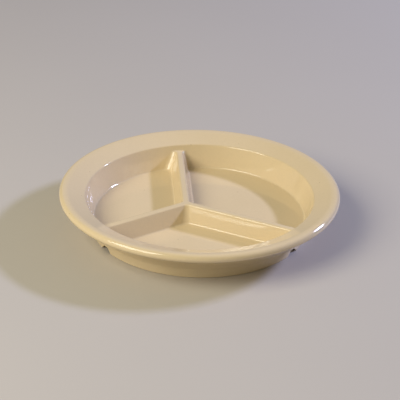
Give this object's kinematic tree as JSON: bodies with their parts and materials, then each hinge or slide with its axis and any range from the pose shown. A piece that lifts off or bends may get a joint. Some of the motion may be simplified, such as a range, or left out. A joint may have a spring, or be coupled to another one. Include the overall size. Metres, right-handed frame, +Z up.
{
  "type": "divided compartment plate",
  "caption": "Deep round plate in glossy cream plastic with a Y-shaped divider, a sloping rim with a thick rounded bead, and a notched foot ring",
  "frame": {"origin": "centre of the foot ring's resting face, on the table", "axes": "+Z up out of the plate, +Y along the back divider, +X to the right of it"},
  "size_m": [0.229, 0.229, 0.0332],
  "materials": {
    "cream_plastic": "glossy moulded, cream"
  },
  "bodies": {
    "root": {"outer_bead": "cream_plastic", "rim_flange": "cream_plastic", "foot_ring": "cream_plastic", "large_wall": "cream_plastic", "left_wall": "cream_plastic", "front_wall": "cream_plastic", "large_floor": "cream_plastic", "left_floor": "cream_plastic", "front_floor": "cream_plastic", "back_divider": "cream_plastic", "left_divider": "cream_plastic", "right_divider": "cream_plastic", "divider_hub": "cream_plastic", "back_divider_end": "cream_plastic", "left_divider_end": "cream_plastic", "right_divider_end": "cream_plastic"}
  },
  "joints": []
}
